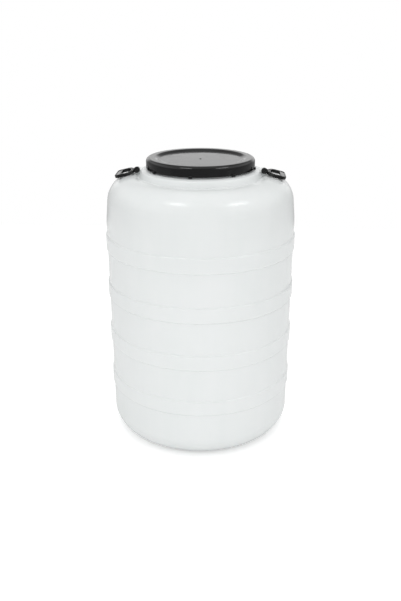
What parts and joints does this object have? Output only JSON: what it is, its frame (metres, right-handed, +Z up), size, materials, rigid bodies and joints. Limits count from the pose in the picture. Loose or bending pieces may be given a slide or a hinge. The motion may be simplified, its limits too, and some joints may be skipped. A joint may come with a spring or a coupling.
{
  "type": "plastic open head drum",
  "caption": "Tall round plastic storage drum with raised bands, a rounded shoulder, a wide threaded neck with a screw lid, and a swinging loop handle at each side.",
  "frame": {"origin": "centre of the base, on the plane of the foot ring", "axes": "+Z up along the drum's axis; the handles lie along +X and -X; -Y is the front"},
  "size_m": [0.5, 0.4998, 0.7498],
  "materials": {
    "natural_hdpe": "satin, slightly translucent natural white polyethylene",
    "black_lid": "semi-gloss black, fine moulded grain",
    "black_handle": "semi-gloss black",
    "black_pin": "semi-gloss black",
    "clip_steel": "zinc plated",
    "seal_rubber": "matt foam rubber"
  },
  "bodies": {
    "drum": {"drum_body": "natural_hdpe", "handle_pin_right": "black_pin", "handle_pin_left": "black_pin", "pin_clip_right": "clip_steel", "pin_clip_left": "clip_steel"},
    "seal": {"lid_gasket": "seal_rubber"},
    "lid": {"screw_lid": "black_lid"},
    "right_handle": {"handle_right": "black_handle"},
    "left_handle": {"handle_left": "black_handle"}
  },
  "joints": [
    {"name": "lid_lift", "type": "slide", "parent": "drum", "child": "seal", "axis": [0, 0, 1], "range_m": [0, 0.06]},
    {"name": "lid_turn", "type": "hinge", "parent": "seal", "child": "lid", "pos_m": [0, 0, 0.7365], "axis": [0, 0, 1], "range_deg": [0, 1800]},
    {"name": "handle_right_swing", "type": "hinge", "parent": "drum", "child": "right_handle", "pos_m": [0.164, 0, 0.7164], "axis": [0, -1, 0], "range_deg": [0, 110]},
    {"name": "handle_left_swing", "type": "hinge", "parent": "drum", "child": "left_handle", "pos_m": [-0.164, 0, 0.7164], "axis": [0, 1, 0], "range_deg": [0, 110]}
  ],
  "couplings": [
    {"joint": "lid_lift", "follows": "lid_turn", "m_per_rad": 0.0019099}
  ]
}
